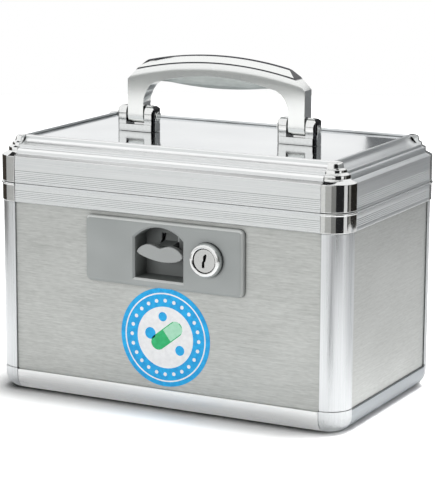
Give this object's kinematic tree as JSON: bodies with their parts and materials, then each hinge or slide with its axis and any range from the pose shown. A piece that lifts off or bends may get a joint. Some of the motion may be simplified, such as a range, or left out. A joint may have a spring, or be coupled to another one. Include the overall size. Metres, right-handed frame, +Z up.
{
  "type": "medication lock box",
  "caption": "Small lockable aluminium-framed case with a hinged lid, folding top handle, press-down snap latch and cam lock.",
  "frame": {"origin": "centre of the case's footprint, on the plane that its bottom rails stand on", "axes": "+Z up, -Y out of the front wall with the latch, +X to the right as seen from the front"},
  "size_m": [0.226, 0.1472, 0.1972],
  "materials": {
    "brushed_panel": "brushed sheet with fine horizontal lines",
    "anodised_frame": "satin anodised extrusion",
    "chrome": "bright plating",
    "lid_panel": "glossy pale sheet",
    "handle_plastic": "silver lacquered moulding",
    "housing_plastic": "grey satin moulding",
    "steel": "zinc plated"
  },
  "bodies": {
    "body": {"front_panel": "brushed_panel", "right_panel": "brushed_panel", "back_panel": "brushed_panel", "left_panel": "brushed_panel", "bottom_panel": "brushed_panel", "bottom_rail_front": "anodised_frame", "bottom_rail_right": "anodised_frame", "bottom_rail_back": "anodised_frame", "bottom_rail_left": "anodised_frame", "rim_rail_front": "anodised_frame", "rim_rail_right": "anodised_frame", "rim_rail_back": "anodised_frame", "rim_rail_left": "anodised_frame", "post_back_right": "anodised_frame", "post_back_left": "anodised_frame", "post_front_left": "anodised_frame", "post_front_right": "anodised_frame", "bottom_cap_back_right": "anodised_frame", "bottom_cap_back_left": "anodised_frame", "bottom_cap_front_left": "anodised_frame", "bottom_cap_front_right": "anodised_frame", "rim_corner_back_right": "chrome", "rim_corner_back_left": "chrome", "rim_corner_front_left": "chrome", "rim_corner_front_right": "chrome", "latch_housing": "housing_plastic", "latch_pin": "steel", "latch_spring": "steel", "housing_screw": "steel", "lock_barrel": "chrome", "lock_nut": "steel", "hinge_left_body_leaf": "chrome", "hinge_left_pin": "steel", "hinge_right_body_leaf": "chrome", "hinge_right_pin": "steel"},
    "lid": {"lid_rail_front": "anodised_frame", "lid_rail_right": "anodised_frame", "lid_rail_back": "anodised_frame", "lid_rail_left": "anodised_frame", "lid_corner_back_right": "chrome", "lid_corner_back_left": "chrome", "lid_corner_front_left": "chrome", "lid_corner_front_right": "chrome", "lid_panel": "lid_panel", "lid_keeper": "steel", "handle_bracket_left": "chrome", "handle_bracket_right": "chrome", "handle_pin_left": "chrome", "handle_pin_right": "chrome", "bracket_screw_1": "steel", "bracket_screw_2": "steel", "bracket_screw_3": "steel", "bracket_screw_4": "steel", "hinge_left_lid_leaf": "chrome", "hinge_right_lid_leaf": "chrome"},
    "handle": {"handle_grip": "handle_plastic"},
    "latch": {"latch_lever": "housing_plastic"},
    "lock": {"lock_plug": "chrome", "lock_cam": "steel", "cam_screw": "steel"}
  },
  "joints": [
    {"name": "lid_hinge", "type": "hinge", "parent": "body", "child": "lid", "pos_m": [0, 0.07075, 0.1241], "axis": [-1, 0, 0], "range_deg": [0, 95]},
    {"name": "handle_pivot", "type": "hinge", "parent": "lid", "child": "handle", "pos_m": [0, 0.00005, 0.1586], "axis": [1, 0, 0], "range_deg": [-90, 90]},
    {"name": "latch_press", "type": "hinge", "parent": "body", "child": "latch", "pos_m": [-0.0018, -0.04745, 0.1], "axis": [1, 0, 0], "range_deg": [0, 14], "stiffness_Nm_per_rad": 0.15, "springref_deg": -17.19, "deforming": ["latch_spring"]},
    {"name": "lock_turn", "type": "hinge", "parent": "body", "child": "lock", "pos_m": [0.0296, -0.0726, 0.0918], "axis": [0, -1, 0], "range_deg": [0, 90]}
  ]
}
